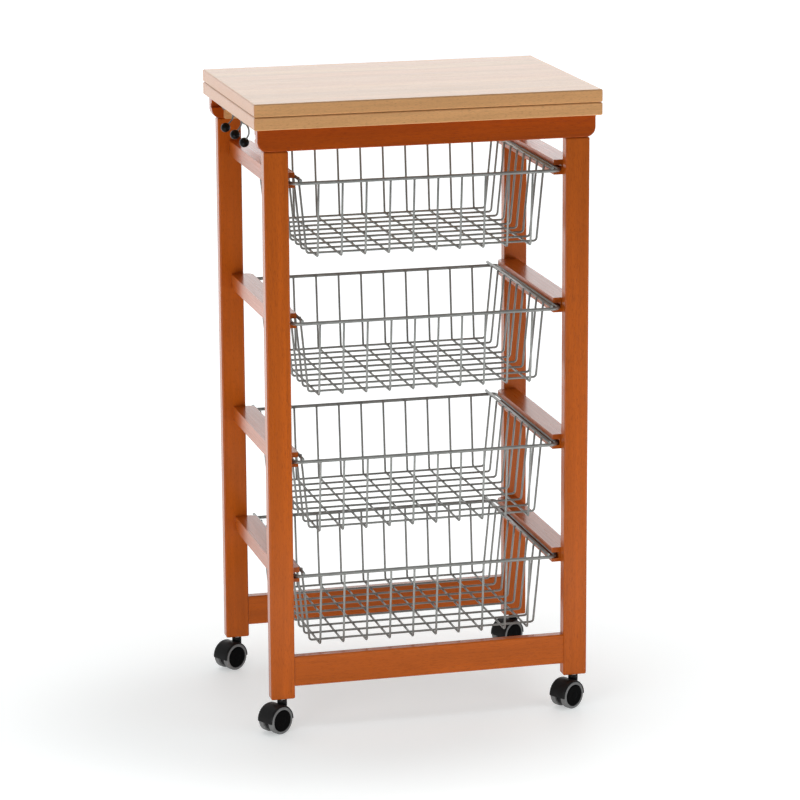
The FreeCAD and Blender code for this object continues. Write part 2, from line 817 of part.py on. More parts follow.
shell = sector(hood_in, hood_out, size("hood_sweep"), 2 * wheel_out)
boss = Part.makeCylinder(size("boss_radius"), boss_top, spot(0, size("caster_trail"), 0), UP)
inside = Part.makeCylinder(
    hood_in, 2 * wheel_out + 2 * size("overrun"), spot(-wheel_out - size("overrun"), 0, 0), RIGHT
)
web_radius = wheel_radius - size("web_inset")
web = Part.makeCylinder(web_radius, size("web_width"), spot(-size("web_width") / 2, 0, 0), RIGHT)
rib = sector(0, hood_out - size("hood_wall") / 2, 180, size("web_width"))
pin_bore = Part.makeCylinder(
    size("pin_radius") + size("turn_gap"), size("pin_length") + size("overrun"),
    spot(0, size("caster_trail"), boss_top - size("pin_length")), UP,
)
axle_bore = Part.makeCylinder(
    size("axle_radius") + size("turn_gap"), 2 * wheel_out, spot(-wheel_out, 0, 0), RIGHT
)
hood_shape = shell.fuse([boss.cut(inside), web, rib]).removeSplitter().cut([pin_bore, axle_bore])

shoulder = boss_top + size("slide_gap")
stem_seat = size("caster_height") - wheel_radius
pin_end = boss_top - size("pin_length") + size("slide_gap")
stem_profile = [
    (pin_end, 0),
    (pin_end, size("pin_radius")),
    (shoulder, size("pin_radius")),
    (shoulder, size("flange_radius")),
    (stem_seat, size("flange_radius")),
    (stem_seat, size("stem_radius")),
    (stem_seat + size("stem_length"), size("stem_radius")),
    (stem_seat + size("stem_length"), 0),
]
stem_shape = ring(stem_profile)
stem_shape.rotate(FreeCAD.Vector(), BACK, -90)
trail_turn = math.radians(size("caster_turn"))
trail = spot(-math.cos(trail_turn), -math.sin(trail_turn), 0) * size("caster_trail")
stem_x = size("top_width") / 2 - size("leg_side_inset") - size("leg_width") / 2
stem_y = size("top_depth") / 2 - size("leg_front_inset") - size("leg_depth") / 2
CORNERS = (("front_left", -1, -1), ("front_right", 1, -1), ("back_left", -1, 1), ("back_right", 1, 1))
stems = []
for corner, side, end in CORNERS:
    stem_at = spot(side * stem_x, end * stem_y, wheel_radius)
    stem = stem_shape.copy()
    stem.translate(stem_at)
    stems.append(stem)
    at = stem_at + trail
    turn = size("caster_turn") - 90
    shaped(corner + "_caster_hood", hood_shape, at, turn)
    shaped(corner + "_caster_axle", axle_shape, at, turn)
    shaped(corner + "_caster_hubs", hub_shape, at, turn)
    shaped(corner + "_caster_tyres", tyre_shape, at, turn)
shaped("caster_stems", Part.makeCompound(stems))

doc.recompute()
for thing in doc.Objects:
    if "Invalid" in thing.State or "Error" in thing.State:
        raise RuntimeError("%s failed: %s" % (thing.Name, thing.State))
for node in nodes:
    if node.Shape.isNull() or not node.Shape.isValid():
        raise RuntimeError("%s has no valid shape" % node.Label)

os.makedirs("parts", exist_ok=True)
for node in nodes:
    node.Shape.exportStep("parts/%s.step" % node.Label)
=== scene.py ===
"""Looks of a kitchen cart: wood, wire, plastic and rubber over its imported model, with a plain studio."""

import json
import math

import bpy
import numpy as np
from mathutils import Matrix, Vector


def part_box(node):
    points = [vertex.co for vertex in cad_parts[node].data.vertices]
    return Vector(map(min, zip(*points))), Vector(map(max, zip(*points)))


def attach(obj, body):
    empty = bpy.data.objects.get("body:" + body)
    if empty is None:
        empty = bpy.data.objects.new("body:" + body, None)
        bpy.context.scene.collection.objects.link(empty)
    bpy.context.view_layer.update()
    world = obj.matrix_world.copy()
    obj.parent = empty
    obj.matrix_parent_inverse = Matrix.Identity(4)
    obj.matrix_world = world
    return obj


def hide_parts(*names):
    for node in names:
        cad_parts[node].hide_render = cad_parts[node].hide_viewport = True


bl_info = {
    "name": "Kitchen cart",
    "version": (1, 0, 0),
    "blender": (4, 5, 0),
    "location": "3D View > Sidebar > Cart",
    "description": "Finishes and fine pieces of a kitchen cart with pull-out wire baskets",
    "category": "Object",
}

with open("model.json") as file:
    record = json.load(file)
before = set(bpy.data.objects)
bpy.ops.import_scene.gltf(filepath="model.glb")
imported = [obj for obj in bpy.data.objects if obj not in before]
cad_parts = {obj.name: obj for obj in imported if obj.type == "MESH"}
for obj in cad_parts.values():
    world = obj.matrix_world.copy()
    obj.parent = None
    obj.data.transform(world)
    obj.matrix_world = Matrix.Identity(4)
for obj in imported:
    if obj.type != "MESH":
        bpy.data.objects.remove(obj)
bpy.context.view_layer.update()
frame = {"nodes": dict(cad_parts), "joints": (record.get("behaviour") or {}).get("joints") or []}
JOINTS = {joint["name"]: joint for joint in frame["joints"]}
LEVELS = ("top", "upper", "lower", "bottom")
CORNERS = ("front_left", "front_right", "back_left", "back_right")
HOOKS = ("front", "middle", "back")
X, Y, Z = np.eye(3)

# The camera was fitted to the photo: its place, its right, up and back directions, and its lens in mm.
CAMERA_PLACE = (-1.27829, -4.94817, 1.66622)
CAMERA_RIGHT = (0.967911, -0.251234, -0.005362)
CAMERA_UP = (0.063852, 0.225248, 0.972207)
CAMERA_BACK = (-0.243044, -0.941353, 0.234062)
CAMERA_LENS = 161.99

# Lights: name, place, the point they face, the side of the square in metres and the power in watts.
SOFTBOXES = (
    ("overhead", (-0.3, -0.6, 5.5), (0, 0, 0.4), 3.5, 55),
    ("left", (-0.9, -1.0, 0.15), (0, 0, 0.1), 0.6, 7),
    ("right", (1.0, -1.1, 0.15), (0.1, 0, 0.1), 0.6, 5.5),
)

# The floor is dim around this point, in an oval that is longer across the cart.
DIM_CENTRE = (-0.15, -0.1, 0.0)
DIM_STRETCH = (0.74, 1.0, 1.0)
FLOOR_REACH = 40.0

# The surroundings' strength everywhere, and what they add at most behind the cart.
SKY_LEVEL = 0.32
SKY_LOBE = 1.35

# Wood: turns that lay the first axis along the grain, and each pattern's density along it and across.
GRAIN_TURN = {"X": (0, 0, 0), "Y": (0, 0, -math.pi / 2), "Z": (0, math.pi / 2, 0)}
GROWTH_BANDS = (1.6, 30, 30)
FINE_STREAKS = (9, 380, 380)
SHORT_FLECKS = (170, 1500, 1500)
MOTTLE = (45, 260, 260)
PORES = 1300

# How far from a board's end its end grain starts, and where it is full.
END_GRAIN = (0.0012, 0.0004)

# Turns, in degrees, at which a bar's domed ends have rings, and how close two points of a path count as one.
DOME_RINGS = (75.0, 50.0, 25.0)
SAME_POINT = 1e-7


# Meshes: a shape is an array of points and a list of face arrays with one row of point numbers per face.


def unit(vectors):
    """Vectors divided by their lengths."""
    return vectors / np.linalg.norm(vectors, axis=-1, keepdims=True)


def quads(rows, columns, row_loop=False, column_loop=False):
    """Faces of a grid of points: each joins point (i, j) to its next neighbours, round a loop if asked."""
    i = np.arange(rows if row_loop else rows - 1)[:, None]
    j = np.arange(columns if column_loop else columns - 1)[None, :]
    after_i = (i + 1) % rows
    after_j = (j + 1) % columns
    corners = (i * columns + j, i * columns + after_j, after_i * columns + after_j, after_i * columns + j)
    return np.stack(np.broadcast_arrays(*corners), axis=-1).reshape(-1, 4)


def fan(pole, row, count):
    """Triangles from a pole to each step of a closed row of points, which starts at a number."""
    here = np.arange(count)
    return np.stack([np.full(count, pole), row + here, row + (here + 1) % count], axis=-1)


def flipped(faces):
    """Faces with their corners in the opposite order, so that they point the other way."""
    return [rows[:, ::-1] for rows in faces]


def joined(*shapes):
    """One shape of several, with each one's point numbers moved on by the points before it."""
    starts = np.cumsum([0] + [len(points) for points, _ in shapes])
    faces = [rows + start for (_, groups), start in zip(shapes, starts) for rows in groups]
    return np.concatenate([points for points, _ in shapes]), faces


def copies(shape, places):
    """The shape once at each place, by adding the place to all its points."""
    points, faces = shape
    spread = (places[:, None, :] + points[None, :, :]).reshape(-1, 3)
    starts = len(points) * np.arange(len(places))[:, None, None]
    return spread, [(starts + rows).reshape(-1, rows.shape[1]) for rows in faces]


def turned(shape, right, back, up, place):
    """The shape with its own axes laid along three directions and its origin at a place."""
    points, faces = shape
    return points @ np.array([right, back, up]) + np.array(place), faces


def bent(corners, radii, steps):
    """Path through corners: each inner one is an arc with its centre radius / cos(turn / 2) inside it."""
    corners = np.array(corners, float)
    path = [corners[:1]]
    for before, corner, after, radius in zip(corners, corners[1:], corners[2:], radii):
        arriving, leaving = unit(corner - before), unit(after - corner)
        turn = math.acos(float(np.clip(arriving @ leaving, -1, 1)))
        middle = corner + unit(leaving - arriving) * radius / math.cos(turn / 2)
        start = corner - arriving * radius * math.tan(turn / 2) - middle
        angle = np.linspace(0, turn, steps + 1)[:, None]
        path.append(middle + start * np.cos(angle) + arriving * radius * np.sin(angle))
    path.append(corners[-1:])
    path = np.concatenate(path)
    far = np.linalg.norm(np.diff(path, axis=0), axis=1) > SAME_POINT
    return path[np.concatenate([[True], far])]


def circle(beside, across, sides):
    """Unit rings round path points: cos a * beside - sin a * across, for a full turn of a."""
    angle = np.linspace(0, 2 * np.pi, sides, endpoint=False)[None, :, None]
    return np.cos(angle) * beside[:, None, :] - np.sin(angle) * np.asarray(across)[None, None, :]


def bar(path, across, radius, sides, dome=0.5):
    """Round bar along a flat path: a ring in the mitre plane of each path point, and domed ends.

    A ring is point + radius * (cos a * beside / cos(half turn) - sin a * across). An end's rings shrink as
    cos b and move out as dome * radius * sin b, from a path that is shorter by dome * radius at each end.
    """
    runs = unit(np.diff(path, axis=0))
    path = np.vstack([path[0] + dome * radius * runs[0], path[1:-1], path[-1] - dome * radius * runs[-1]])
    arriving, leaving = np.vstack([runs[:1], runs]), np.vstack([runs, runs[-1:]])
    ahead = unit(arriving + leaving)
    beside = np.cross(ahead, across) / np.sum(ahead * leaving, axis=1, keepdims=True)
    bulge = np.radians(DOME_RINGS)[:, None]
    count = len(bulge)
    out = dome * radius * np.sin(bulge)
    centres = np.vstack([path[0] - runs[0] * out, path, (path[-1] + runs[-1] * out)[::-1]])
    beside = np.vstack([beside[:1].repeat(count, 0), beside, beside[-1:].repeat(count, 0)])
    radii = radius * np.concatenate([np.cos(bulge[:, 0]), np.ones(len(path)), np.cos(bulge[::-1, 0])])
    points = centres[:, None, :] + radii[:, None, None] * circle(beside, across, sides)
    around = np.arange(sides)
    ends = np.stack([around[::-1], (len(centres) - 1) * sides + around])
    return points.reshape(-1, 3), [quads(len(centres), sides, column_loop=True), ends]


def endless(path, across, radius, sides):
    """Round bar along a closed flat path: an open bar's rings, with the last joined to the first."""
    runs = unit(np.roll(path, -1, axis=0) - path)
    ahead = unit(np.roll(runs, 1, axis=0) + runs)
    beside = np.cross(ahead, across) / np.sum(ahead * runs, axis=1, keepdims=True)
    points = path[:, None, :] + radius * circle(beside, across, sides)
    return points.reshape(-1, 3), [quads(len(path), sides, row_loop=True, column_loop=True)]


def lathed(profile, sides):
    """Rings about X of a profile: (x, r) goes to (x, r cos a, r sin a), for a full turn of a."""
    angle = np.linspace(0, 2 * np.pi, sides, endpoint=False)[None, :]
    x, r = profile[:, :1], profile[:, 1:2]
    return np.stack([x + 0 * angle, r * np.cos(angle), r * np.sin(angle)], axis=-1).reshape(-1, 3)


def ring_solid(profile, sides):
    """Solid of revolution about X of a closed profile."""
    return lathed(profile, sides), [quads(len(profile), sides, row_loop=True, column_loop=True)]


def spun(profile, sides):
    """Solid of revolution about X of a profile that starts and ends on the axis, where it has poles."""
    rings = lathed(profile[1:-1], sides)
    points = np.vstack([rings, [(profile[0, 0], 0, 0), (profile[-1, 0], 0, 0)]])
    first = len(rings)
    wall = quads(len(profile) - 2, sides, column_loop=True)
    return points, [wall, *flipped([fan(first, 0, sides)]), fan(first + 1, first - sides, sides)]


def ball(radius, flat, columns, rows):
    """Ball about its Z axis: radius * (cos a sin b, sin a sin b, flat * cos b), with b from pole to pole."""
    b = np.linspace(0, np.pi, rows + 1)[1:-1, None]
    a = np.linspace(0, 2 * np.pi, columns, endpoint=False)[None, :]
    spread = np.stack([np.cos(a) * np.sin(b), np.sin(a) * np.sin(b), flat * np.cos(b) + 0 * a], axis=-1)
    points = np.vstack([spread.reshape(-1, 3), [[0, 0, flat], [0, 0, -flat]]]) * radius
    top, last = (rows - 1) * columns, (rows - 2) * columns
    sides = flipped([quads(rows - 1, columns, column_loop=True)])
    return points, sides + [fan(top, 0, columns)] + flipped([fan(top + 1, last, columns)])


def rounded_profile(corners, radii, steps):
    """Closed profile whose corners are arcs of the given radii."""
    corners = np.array([(a, b, 0.0) for a, b in corners])
    loop = np.vstack([corners[-1:], corners, corners[:1]])
    return bent(loop, radii, steps)[1:-1, :2]


def piece(name, shape, finish, body, nodes=(), smooth=True):
    """Object of a shape that rides on a body, with a finish; it may stand for CAD nodes."""
    points, faces = shape
    mesh = bpy.data.meshes.new(name)
    mesh.from_pydata(points.tolist(), [], [row for rows in faces for row in rows.tolist()])
    mesh.polygons.foreach_set("use_smooth", np.full(len(mesh.polygons), smooth))
    mesh.materials.append(finish)
    if mesh.validate():
        raise RuntimeError("%s has faulty faces" % name)
    made = bpy.data.objects.new(name, mesh)
    bpy.context.scene.collection.objects.link(made)
    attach(made, body)
    if nodes:
        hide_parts(*nodes)


# Finishes: each is worked out from Object coordinates.


class Nodes:
    """Node tree of one material, with short calls to add and link nodes."""

    def __init__(self, name):
        self.material = bpy.data.materials.new(name)
        self.material.use_nodes = True
        self.tree = self.material.node_tree
        self.tree.nodes.clear()
        self.shader = self.add("ShaderNodeBsdfPrincipled")
        self.add("ShaderNodeOutputMaterial", {"Surface": self.shader.outputs["BSDF"]})
        self.place = self.add("ShaderNodeTexCoord").outputs["Object"]

    def add(self, kind, inputs=None, **settings):
        """Node of a kind with its settings; an input is a number, a colour or another node's output."""
        made = self.tree.nodes.new(kind)
        for key, value in settings.items():
            setattr(made, key, value)
        for key, value in (inputs or {}).items():
            self.set(made, key, value)
        return made

    def set(self, node, key, value):
        """Sets or links one input."""
        if isinstance(value, bpy.types.NodeSocket):
            self.tree.links.new(value, node.inputs[key])
        else:
            node.inputs[key].default_value = value

    def finish(self, **inputs):
        """Sets the shader's own inputs, with _ for a space in their names."""
        for key, value in inputs.items():
            self.set(self.shader, key.replace("_", " "), value)
        return self.material

    def axis(self, place, name):
        """One coordinate of a place."""
        return self.add("ShaderNodeSeparateXYZ", {"Vector": place}).outputs[name]

    def stretched(self, place, stretch):
        """Coordinates multiplied along each axis."""
        made = self.add("ShaderNodeVectorMath", {0: place, 1: stretch}, operation="MULTIPLY")
        return made.outputs["Vector"]

    def distance(self, point, stretch):
        """Distance from a point, with both multiplied along each axis."""
        place, centre = self.stretched(self.place, stretch), [a * b for a, b in zip(point, stretch)]
        return self.add("ShaderNodeVectorMath", {0: place, 1: centre}, operation="DISTANCE").outputs["Value"]

    def noise(self, place, scale=1.0, detail=3.0, roughness=0.5, distortion=0.0):
        """Noise from 0 to 1."""
        made = self.add("ShaderNodeTexNoise", {
            "Vector": place, "Scale": scale, "Detail": detail, "Roughness": roughness,
            "Distortion": distortion})
        return made.outputs["Fac"]

    def between(self, value, low, high, to_low=0.0, to_high=1.0):
        """A value mapped smoothly from one range to another and held within it."""
        made = self.add("ShaderNodeMapRange", {
            "Value": value, "From Min": low, "From Max": high, "To Min": to_low, "To Max": to_high},
            interpolation_type="SMOOTHSTEP")
        return made.outputs["Result"]

    def maths(self, operation, a, *b):
        """One or two numbers under an operation."""
        return self.add("ShaderNodeMath", dict(enumerate((a, *b))), operation=operation).outputs["Value"]

    def blend(self, share, first, second):
        """Second colour over the first by a share."""
        made = self.add("ShaderNodeMix", {"Factor": share, "A": first, "B": second}, data_type="RGBA")
        return made.outputs["Result"]

    def bump(self, height, distance):
        """Normal of a surface raised by a height from 0 to 1 times a distance."""
        made = self.add("ShaderNodeBump", {"Height": height, "Distance": distance, "Strength": 1.0})
        return made.outputs["Normal"]


def tint(colour, share):
    """Colour made lighter or darker by a share, with full alpha."""
    return (*[min(1.0, c * share) for c in colour[:3]], 1.0)


def wood(name, colour, grain, gloss, fleck_depth, stave_width=0.0, half_length=0.0):
    """Lacquered beech with its grain along one axis: growth bands, fine streaks, mottle and short flecks.

    If asked, it has staves that differ in tone, and darker end grain with pores past the half length.
    """
    n = Nodes(name)
    along = n.add("ShaderNodeMapping", {"Vector": n.place, "Rotation": GRAIN_TURN[grain]}).outputs["Vector"]
    bands = n.noise(n.stretched(along, GROWTH_BANDS), detail=3, roughness=0.55, distortion=0.6)
    streaks = n.noise(n.stretched(along, FINE_STREAKS), detail=3, roughness=0.6)
    flecks = n.noise(n.stretched(along, SHORT_FLECKS), detail=1)
    mottle = n.noise(n.stretched(along, MOTTLE), detail=2)
    shade = n.blend(n.between(bands, 0.32, 0.68), tint(colour, 0.88), tint(colour, 1.08))
    if stave_width:
        stave = n.maths("SNAP", n.axis(along, "Y"), stave_width)
        tone = n.add("ShaderNodeTexWhiteNoise", {"W": stave}, noise_dimensions="1D").outputs["Value"]
        pink = (colour[0] * 1.04, colour[1] * 0.9, colour[2] * 0.9, 1.0)
        shade = n.blend(n.between(tone, 0, 1, 0, 0.8), shade, n.blend(0.7, shade, pink))
    shade = n.blend(n.between(streaks, 0.35, 0.75, 0, 0.35), shade, tint(colour, 0.74))
    shade = n.blend(n.between(mottle, 0.5, 0.72, 0, 0.22), shade, tint(colour, 0.7))
    marks = n.between(flecks, 0.55, 0.68)
    shade = n.blend(n.maths("MULTIPLY", marks, fleck_depth), shade, tint(colour, 0.45))
    if half_length:
        out = n.maths("ABSOLUTE", n.axis(along, "X"))
        at_end = n.between(out, *[half_length - depth for depth in END_GRAIN])
        pores = n.between(n.noise(n.place, scale=PORES, detail=2), 0.4, 0.7)
        end_tone = (colour[0] * 0.8, colour[1] * 0.68, colour[2] * 0.8, 1.0)
        end_grain = n.blend(pores, tint(end_tone, 1.1), tint(end_tone, 0.8))
        shade = n.blend(n.maths("MULTIPLY", at_end, 0.85), shade, end_grain)
    relief = n.maths("SUBTRACT", n.maths("MULTIPLY", streaks, 0.5), n.maths("MULTIPLY", marks, 0.5))
    return n.finish(
        Base_Color=shade,
        Roughness=n.between(streaks, 0.3, 0.7, gloss, gloss + 0.1),
        Normal=n.bump(relief, 0.0001),
        Specular_IOR_Level=0.06,
        Coat_Weight=0.8,
        Coat_IOR=1.25,
        Coat_Roughness=0.2,
    )


def plated(name, colour, rough, spread):
    """Plated steel: a slow change of tone and gloss, and fine grit."""
    n = Nodes(name)
    cloud = n.noise(n.place, scale=60, detail=3)
    grit = n.noise(n.place, scale=2600, detail=2)
    shade = n.blend(n.between(cloud, 0.3, 0.7), tint(colour, 0.86), tint(colour, 1.08))
    return n.finish(
        Base_Color=shade,
        Metallic=1.0,
        Roughness=n.between(n.maths("MULTIPLY", cloud, grit), 0.1, 0.4, rough, rough + spread),
        Normal=n.bump(grit, 0.00004),
    )


def lacquered(name, colour, rough, flake, shine):
    """Wire under silver-grey lacquer: a slow change of tone, fine metal flake and a slightly uneven skin."""
    n = Nodes(name)
    cloud = n.noise(n.place, scale=70, detail=3)
    fine = n.noise(n.place, scale=3200, detail=1)
    skin = n.noise(n.place, scale=900, detail=2)
    shade = n.blend(n.between(cloud, 0.3, 0.7), tint(colour, 0.88), tint(colour, 1.1))
    shade = n.blend(n.between(fine, 0.62, 0.75, 0, 0.4), shade, tint(colour, 1.25))
    return n.finish(
        Base_Color=shade,
        Metallic=flake,
        Roughness=n.between(cloud, 0.3, 0.7, rough, rough + 0.12),
        Normal=n.bump(skin, 0.00001),
        Specular_IOR_Level=shine,
    )


def moulded(name, colour, rough, grit_size, relief, shine):
    """Moulded plastic or rubber: fine spark-eroded grit, faint dust and rubbed patches."""
    n = Nodes(name)
    grit = n.noise(n.place, scale=grit_size, detail=2)
    patch = n.noise(n.place, scale=90, detail=4, roughness=0.6)
    shade = n.blend(n.between(patch, 0.45, 0.75, 0, 0.5), tint(colour, 1.0), tint(colour, 1.6))
    return n.finish(
        Base_Color=shade,
        Roughness=n.between(patch, 0.3, 0.7, rough, rough + 0.15),
        Normal=n.bump(grit, relief),
        Specular_IOR_Level=shine,
    )


def cad_finish(finish, *names):
    """Gives CAD nodes a finish in place of their plain one."""
    for name in names:
        mesh = frame["nodes"][name].data
        mesh.materials.clear()
        mesh.materials.append(finish)


# Settings, pieces and stage.


def length(name, default, description):
    """Length in metres as an add-on property."""
    return bpy.props.FloatProperty(
        name=name, description=description, default=default, min=0.0, precision=5,
        subtype="DISTANCE", unit="LENGTH")


def degrees(name, default, description):
    """Angle, given in degrees, as an add-on property."""
    return bpy.props.FloatProperty(
        name=name, description=description, default=math.radians(default), subtype="ANGLE", unit="ROTATION")


def swatch(name, default, description):
    """Colour as an add-on property."""
    return bpy.props.FloatVectorProperty(
        name=name, description=description, default=default, size=3, min=0.0, max=1.0, subtype="COLOR")


class CartColours(bpy.types.PropertyGroup):
    """Colours of the cart's finishes."""

    beech: swatch("Beech", (0.68, 0.372, 0.158), "Natural wood of the top")
    stain: swatch("Stain", (0.43, 0.088, 0.006), "Stained wood of the frame")
    # The apron colour is the frame's stain made darker: painted shade for the shadow under the top's
    # overhang.
    apron: swatch("Apron stain", (0.36, 0.058, 0.001), "Darker stained wood of the boards under the top")
    wire: swatch("Basket wire", (0.24, 0.245, 0.235), "Lacquered wire of the baskets")
    steel: swatch("Steel", (0.62, 0.62, 0.60), "Hinges, stems and axles")
    bright: swatch("Bright steel", (0.15, 0.15, 0.145), "Wire of the hooks")
    black: swatch("Black", (0.0025, 0.0025, 0.0026), "Plastic of the casters and the hook balls")
    tyre: swatch("Tyre", (0.15, 0.15, 0.15), "Rubber of the casters")
    floor: swatch("Floor", (0.715, 0.75, 0.755), "Studio floor")


class CartSizes(bpy.types.PropertyGroup):
    """Sizes of the fine pieces."""

    stave: length("Stave", 0.044, "Width of the staves that the top is glued from")
    grid_wire: length("Grid wire", 0.0028, "Width of the wires of a basket's grid")
    coat: length("Coat", 0.0002, "Thickness of the lacquer on a basket's wires")
    grid_bend: length("Grid bend", 0.0045, "Radius of the grid wires' bends")
    grid_stub: length("Grid stub", 0.0005, "How far the grid wires' ends stand above their holder's middle")
    long_inset: length("Long wire inset", 0.0403, "From the middle of the rim's sides to the first long wire")
    cross_start: length("First cross wire", 0.028, "From the middle of the front rim to the first cross wire")
    cross_end: length("Last cross wire", 0.0303, "From the last cross wire to the middle of the back rim")
    taper: length("Taper", 0.0106, "How far each wall of a basket leans in at its foot")
    rim_corner: length("Rim corner", 0.012, "Radius of the rim's front corners")
    rim_rear_corner: length("Rear corner", 0.008, "Radius of the rim's back corners")
    weld_gap: length("Weld gap", 0.00008, "Space between welded wires")
    hinge_length: length("Hinge length", 0.05, "Length of a hinge plate")
    screw_face: length("Screw face", 0.2502, "Where the heads of the hinge screws end to the right")
    screw_inset: length("Screw inset", 0.0054, "From a hinge plate's edge to its screws")
    screw_step: length("Screw step", 0.016, "Distance between a plate's screws")
    screw_radius: length("Screw radius", 0.0024, "Radius of the hinge screws' heads")
    screw_slot: length("Screw slot", 0.00017, "Depth of the screws' cross slots")
    screw_sink: length("Screw sink", 0.0009, "How far a screw's head reaches back")
    hook_wire: length("Hook wire", 0.0024, "Width of a hook's wire")
    hook_seat: length("Hook seat", 0.0097, "How far a hook's shank stands in the leaf")
    hook_shank: length("Hook shank", 0.011, "How far a hook's arm hangs below the leaf")
    hook_neck: length("Hook neck", 0.003, "Radius of the bend below a hook's shank")
    hook_arm: length("Hook arm", 0.004, "Straight run of a hook before its bend")
    hook_bend: length("Hook bend", 0.0103, "Radius of a hook's bend")
    hook_sweep: degrees("Hook sweep", 130, "Turn of a hook's bend")
    hook_tail: length("Hook tail", 0.006, "Straight run from a hook's bend to its ball")
    ball_radius: length("Ball radius", 0.007, "Radius of the hooks' balls")
    ball_seat: length("Ball seat", 0.004, "How far a hook's wire stands in its ball")
    ball_gap: length("Ball gap", 0.0001, "Space between a hook's wire and the bore of its ball")
    wheel_in: length("Wheel inside", 0.0054, "From a caster's middle plane to the inner faces of its wheels")
    wheel_out: length("Wheel outside", 0.0149, "From a caster's middle plane to the outer faces of its tyres")
    wheel_round: length("Tyre rounding", 0.0016, "Radius of the tyres' edges")
    tyre_depth: length("Tyre depth", 0.004, "Thickness of the tyres")
    hub_gap: length("Hub gap", 0.00005, "Space between a hub and its tyre")
    hub_bore: length("Hub bore", 0.00255, "Radius of the hubs' bores")
    hub_cover: length("Hub cover", 0.0015, "From the end of a hub's bore to the tyre's outer face")
    hub_step: length("Hub step", 0.0002, "From a tyre's outer face back to its hub's shoulder")
    hub_crown: length("Hub crown", 0.0009, "How far a hub stands out of its tyre")
    hub_bevel: length("Hub bevel", 0.0022, "Width of the slope round a hub's face")
    hub_dish: length("Hub dish", 0.0003, "Depth of the hollow in a hub's face")
    hub_dish_radius: length("Hub dish radius", 0.006, "Radius of the deepest ring of that hollow")
    hub_boss: length("Hub boss", 0.0042, "Radius of the raised middle of a hub")
    hood_gap: length("Hood gap", 0.0007, "Space between the tyres and the hood")
    hood_wall: length("Hood wall", 0.0013, "Thickness of the hoods")
    hood_round: length("Hood rounding", 0.0024, "Width of the hoods' shoulders")
    hood_droop: degrees("Hood droop", 3, "How far the hoods reach below the axle on each side")
    web_half: length("Web", 0.005, "Half the thickness of the plate between the wheels")
    web_inset: length("Web inset", 0.003, "From the plate's lower edge to the tread")
    web_rise: length("Web rise", 0.00435, "How much further the plate reaches above the axle")
    web_edge: length("Web edge", 0.0006, "Size of the plate's eased edges")
    neck_radius: length("Neck radius", 0.007, "Radius of the hoods' necks")
    neck_gap: length("Neck gap", 0.0012, "Space between a hood's neck and the leg")
    neck_root: length("Neck root", 0.0013, "From the tread to where a neck starts within the hood's wall")
    pin_bore: length("Pin bore", 0.0031, "Radius of the necks' bores")


class CART_OT_wood(bpy.types.Operator):
    """Natural beech for the top and its runners, stained beech for the frame"""

    bl_idname = "cart.wood"
    bl_label = "Wood"

    def execute(self, context):
        colours = context.scene.cart_colours
        top = wood(
            "top_beech", colours.beech, "X", gloss=0.34, fleck_depth=0.4,
            stave_width=context.scene.cart_sizes.stave, half_length=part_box("upper_leaf")[1][0])
        cad_finish(top, "lower_leaf", "upper_leaf")
        cad_finish(wood("runner_beech", colours.beech, "X", gloss=0.42, fleck_depth=0.45), "top_runners")
        stained = {"gloss": 0.27, "fleck_depth": 0.35}
        cad_finish(wood("leg_stain", colours.stain, "Z", **stained), *[corner + "_leg" for corner in CORNERS])
        # The aprons take the darker apron colour: painted shade for the shadow under the top's overhang.
        cad_finish(wood("apron_stain", colours.apron, "X", **stained), "front_apron", "back_apron")
        cad_finish(wood("board_stain", colours.stain, "X", **stained), "front_stretcher", "back_stretcher")
        cad_finish(wood("rail_stain", colours.stain, "Y", **stained), *[level + "_rails" for level in LEVELS])
        return {"FINISHED"}


class CART_OT_fixings(bpy.types.Operator):
    """Plated steel for the hinges, their screws and the caster stems"""

    bl_idname = "cart.fixings"
    bl_label = "Fixings"

    def execute(self, context):
        s = context.scene.cart_sizes
        steel = plated("zinc_plate", context.scene.cart_colours.steel, rough=0.28, spread=0.2)
        cad_finish(steel, "hinge_lower_plates", "hinge_upper_plates", "hinge_pins", "caster_stems")
        cad_finish(steel, *[corner + "_caster_axle" for corner in CORNERS])
        head = self.screw(s)
        for part, body in (("lower", "sliding_leaf"), ("upper", "folding_leaf")):
            low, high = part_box("hinge_%s_plates" % part)
            level = high[2] - s.screw_inset if part == "upper" else low[2] + s.screw_inset
            half = s.hinge_length / 2
            plates = (low[1] + half, high[1] - half)
            rows = [middle + step for middle in plates for step in (-s.screw_step, 0.0, s.screw_step)]
            places = np.array([(s.screw_face, y, level) for y in rows])
            piece("hinge_%s_screws" % part, copies(head, places), steel, body, smooth=False)
        return {"FINISHED"}

    def screw(self, s):
        """Flat screw head about X: a disc whose face sinks by the slot's depth in a cross along y and z.

        The face is a grid over the square [-1, 1]^2 laid on the disc by (u, v) -> r (u sqrt(1 - v^2 / 2),
        v sqrt(1 - u^2 / 2)), and its edge runs back into the plate.
        """
        half = np.array([0.15, 0.18, 0.55, 0.7, 0.85, 1])
        line = np.concatenate([-half[::-1], [0], half])
        count = len(line)
        slot_half, slot_reach = 0.16, 0.6
        u, v = (axis.ravel() for axis in np.meshgrid(line, line, indexing="ij"))
        y, z = u * np.sqrt(1 - v * v / 2), v * np.sqrt(1 - u * u / 2)
        near, far = np.minimum(np.abs(u), np.abs(v)), np.maximum(np.abs(u), np.abs(v))
        slot = (near < slot_half) & (far < slot_reach)
        face = np.stack([np.where(slot, -s.screw_slot, 0.0), s.screw_radius * y, s.screw_radius * z], axis=-1)
        grid = np.arange(count * count).reshape(count, count)
        edge = np.concatenate([grid[:, 0], grid[-1, 1:], grid[-2::-1, -1], grid[0, -2:0:-1]])
        foot = face[edge] - (s.screw_sink, 0, 0)
        here = np.arange(len(edge))
        after = (here + 1) % len(edge)
        start = count * count
        wall = np.stack([edge[after], edge, start + here, start + after], axis=-1)
        return np.vstack([face, foot]), flipped([quads(count, count)]) + [wall, start + here[None, ::-1]]


